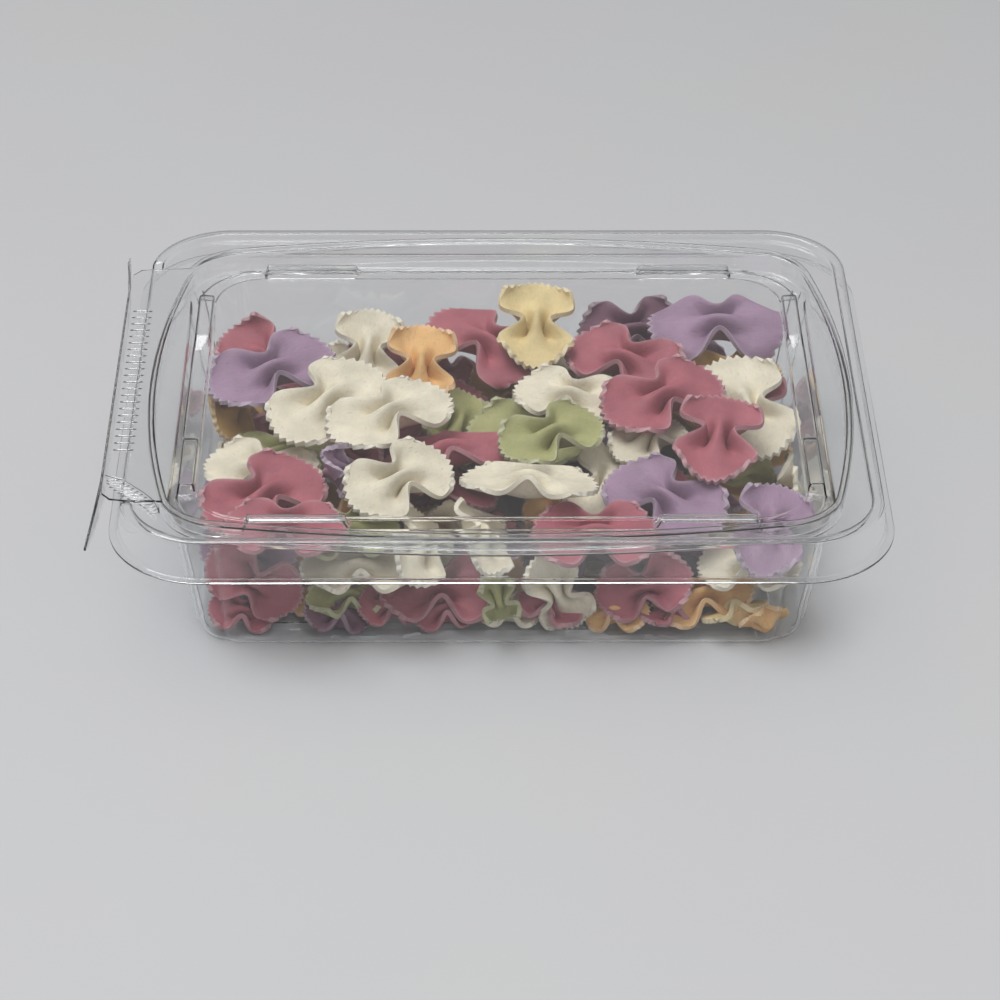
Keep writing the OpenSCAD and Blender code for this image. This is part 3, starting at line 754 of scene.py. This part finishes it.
# small bows that fill the gaps deep in the pile
BURIED = [
    ("rose", (-14.2, -9.2, 15.2), (-25, -5, -48), 0.86, 2, 0),
    ("cream", (33.1, 40.1, 13.2), (40, 7, -20), 0.55, 3, 0),
    ("plum", (54, -17.5, 16.8), (-25, -20, -77), 0.55, 2, 0),
    ("lavender", (60.1, 46.5, 14.1), (-86, 29, -19), 0.55, 3, 0),
    ("sage", (-53.6, 34.3, 12.9), (8, -23, -16), 0.55, 2, 0),
    ("rose", (10.4, 24.5, 15.8), (-13, -9, 0), 0.62, 4, 0),
    ("cream", (33.6, 4.3, 12.8), (-25, 7, 66), 0.62, 2, 0),
    ("ochre", (3.4, 40.7, 14.7), (72, -12, -12), 0.62, 2, 0),
    ("rose", (-30.9, 16.2, 16.9), (36, -23, 20), 0.78, 4, 0),
    ("peach", (15.2, -16.8, 11.4), (30, 0, -25), 0.55, 3, 0),
    ("cream", (-7.9, -27.9, 16.4), (-61, 17, -7), 0.55, 3, 0),
    ("plum", (15.6, 5, 11.5), (24, 6, -84), 0.86, 4, 0),
    ("lavender", (-31.7, -10.7, 13.6), (-19, 24, 56), 0.62, 3, 0),
    ("rose", (-56.1, -14.7, 10.2), (-24, -13, 32), 0.62, 4, 0),
    ("straw", (40, 31.8, 14.3), (29, -19, 54), 0.7, 2, 0),
    ("rose", (47.5, 45.9, 13.3), (24, 11, -51), 0.55, 3, 0),
    ("cream", (-41, 43.9, 15.5), (35, 18, -35), 0.55, 2, 0),
    ("plum", (10.1, -38.4, 18.6), (-24, -1, 32), 0.62, 2, 0),
    ("lavender", (-60.3, 45.7, 15.2), (-14, -19, 44), 0.55, 2, 0),
    ("sage", (60, -1.2, 13.9), (-66, 11, -2), 0.62, 3, 0),
    ("rose", (-59.3, 21.5, 13.2), (-30, -21, -52), 0.55, 2, 0),
    ("cream", (-65.9, 12.1, 8.4), (-8, 4, -72), 0.55, 3, 0),
    ("ochre", (53.7, -23.4, 12.2), (-13, 17, 72), 0.7, 2, 0),
    ("rose", (-15.1, 46.2, 13.6), (58, 39, 19), 0.62, 3, 0),
    ("peach", (63.5, 10.3, 14.9), (-81, 1, -14), 0.7, 3, 0),
    ("cream", (-3.9, 10.7, 11.2), (-17, 12, 87), 0.55, 2, 0),
    ("plum", (33.4, -37.1, 17), (-9, 13, 21), 0.62, 3, 0),
    ("lavender", (-62.7, -37.8, 16.1), (54, -5, -9), 0.7, 2, 0),
    ("rose", (-38.3, 4.7, 14.4), (29, 2, -49), 0.55, 2, 0),
    ("straw", (-16.4, -19, 10.5), (-10, -7, -53), 0.55, 2, 0),
    ("rose", (36.8, -10.8, 12.9), (32, -8, 18), 0.7, 4, 0),
    ("rose", (-1.2, -14.9, 7.3), (-36, 14, -10), 0.42, 2, 0),
    ("plum", (33.1, -41.4, 5.9), (21, 7, 12), 0.42, 2, 0),
    ("rose", (-30.8, 22.2, 6.6), (25, 6, -47), 0.5, 2, 0),
    ("sage", (38.3, 11.3, 6.5), (2, -8, -53), 0.5, 4, 0),
    ("cream", (5.7, 43.1, 8.7), (10, 2, -47), 0.42, 2, 0),
    ("rose", (-66.2, 45.8, 6.7), (7, 13, 57), 0.55, 2, 0),
    ("lavender", (-36.4, -16.7, 8), (-8, 14, 9), 0.42, 3, 0),
    ("rose", (-36.2, 47.2, 8), (49, -17, -22), 0.42, 3, 0),
    ("peach", (-45.3, -42.6, 6), (-17, -18, 45), 0.42, 2, 0),
    ("rose", (-36, 11.8, 6.1), (26, -6, -47), 0.55, 2, 0),
    ("rose", (68.2, 34.1, 8.4), (56, -17, -18), 0.36, 0, 0),
    ("cream", (38.8, 48.3, 4.9), (-14, -18, 27), 0.36, 0, 0),
    ("peach", (64.8, -52.4, 5.4), (-52, 3, 24), 0.36, 1, 0),
    ("plum", (-50.8, 50.1, 4.9), (-22, 14, -1), 0.36, 2, 0),
    ("rose", (66.5, 40, 6), (47, 3, -4), 0.42, 1, 0),
    ("lavender", (23.6, 19.7, 8.3), (47, -19, 17), 0.36, 0, 0),
    ("cream", (60.3, -18.7, 6.2), (12, 1, 32), 0.36, 1, 0),
    ("rose", (-64.2, -48.8, 5.2), (39, 10, 2), 0.46, 1.5, 0),
    ("plum", (-40.6, -50.4, 5.2), (21, 13, 11), 0.46, 0, 0),
    ("rose", (-27.5, -48.5, 6.4), (29, 8, 16), 0.46, 0, 0),
    ("rose", (-14.4, -49, 5.3), (27, 3, 17), 0.46, 0, 0),
    ("cream", (1.7, -48, 5), (21, 6, 5), 0.46, 1.5, 0),
    ("rose", (11.9, -49.1, 6.4), (11, 9, -20), 0.46, 1.5, 0),
    ("peach", (28.5, -49.7, 5.4), (36, -11, -16), 0.46, 1.5, 0),
    ("rose", (41.8, -49.4, 4.7), (-3, 11, 24), 0.46, 0, 0),
    ("straw", (57.9, -50.1, 5.7), (-27, -7, 16), 0.46, 0, 0),
]
for i, (colour, place, turn, size, cup, bend) in enumerate(BURIED, 1):
    piece = pasta_bow(f"pasta_buried_{i}", colour, place, turn, size, cup, bend)
    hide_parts("floor_layer")
    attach(piece, "base")


# The studio: one large soft box above and a little behind, a weaker one at the front right,
# and a room that is darker low down, so the film's edges show.

def soft_box(name, place, aim, size, power):
    lamp = bpy.data.lights.new(name, "AREA")
    lamp.shape = "RECTANGLE"
    lamp.size, lamp.size_y = size
    lamp.energy = power
    box = bpy.data.objects.new(name, lamp)
    bpy.context.collection.objects.link(box)
    box.location = place
    box.rotation_euler = (Vector(aim) - Vector(place)).to_track_quat("-Z", "Y").to_euler()


soft_box("key_box", (-0.35, 0.2, 1.25), (0, 0, 0), (1.0, 0.8), 11)
soft_box("fill_box", (0.5, -0.8, 0.9), (0, 0, 0.02), (0.7, 0.5), 1.5)

room = bpy.data.worlds.new("studio_room")
bpy.context.scene.world = room
add, join = nodes_of(room)
out = add("ShaderNodeOutputWorld")
glow = add("ShaderNodeBackground")
look = add("ShaderNodeTexCoord")
part = add("ShaderNodeSeparateXYZ")
dome = add("ShaderNodeValToRGB")
join(look.outputs["Generated"], part.inputs[0])
join(part.outputs["Z"], dome.inputs["Fac"])
dome.color_ramp.elements[0].position = 0.1
dome.color_ramp.elements[0].color = (0.34, 0.34, 0.345, 1)
dome.color_ramp.elements[1].position = 1
dome.color_ramp.elements[1].color = (1, 1, 1, 1)
low_sky = dome.color_ramp.elements.new(0.62)
low_sky.color = (0.33, 0.33, 0.335, 1)
join(dome.outputs["Color"], glow.inputs["Color"])
glow.inputs["Strength"].default_value = 1
join(glow.outputs[0], out.inputs["Surface"])


# The camera stands in front, looks down at 34.5 degrees, and is turned as in the photograph.

tilt, yaw, roll = 0.6026, 0.0136, 0.0067
look_at, stand_off = Vector((0.2047, 0, 4.6305)) * mm, 912.76 * mm
away = Vector((math.sin(yaw) * math.cos(tilt), math.cos(yaw) * math.cos(tilt), -math.sin(tilt)))
right = Vector((math.cos(yaw), -math.sin(yaw), 0))
up = right.cross(away)
across = right * math.cos(roll) + up * math.sin(roll)
upright = up * math.cos(roll) - right * math.sin(roll)
lens = bpy.data.cameras.new("camera")
lens.lens = 126.68
lens.sensor_width = 36
camera = bpy.data.objects.new("camera", lens)
bpy.context.collection.objects.link(camera)
camera.matrix_world = Matrix.Translation(look_at - away * stand_off) @ Matrix(
    (across, upright, -away)).transposed().to_4x4()
bpy.context.scene.camera = camera
bpy.context.scene.view_settings.view_transform = "Standard"
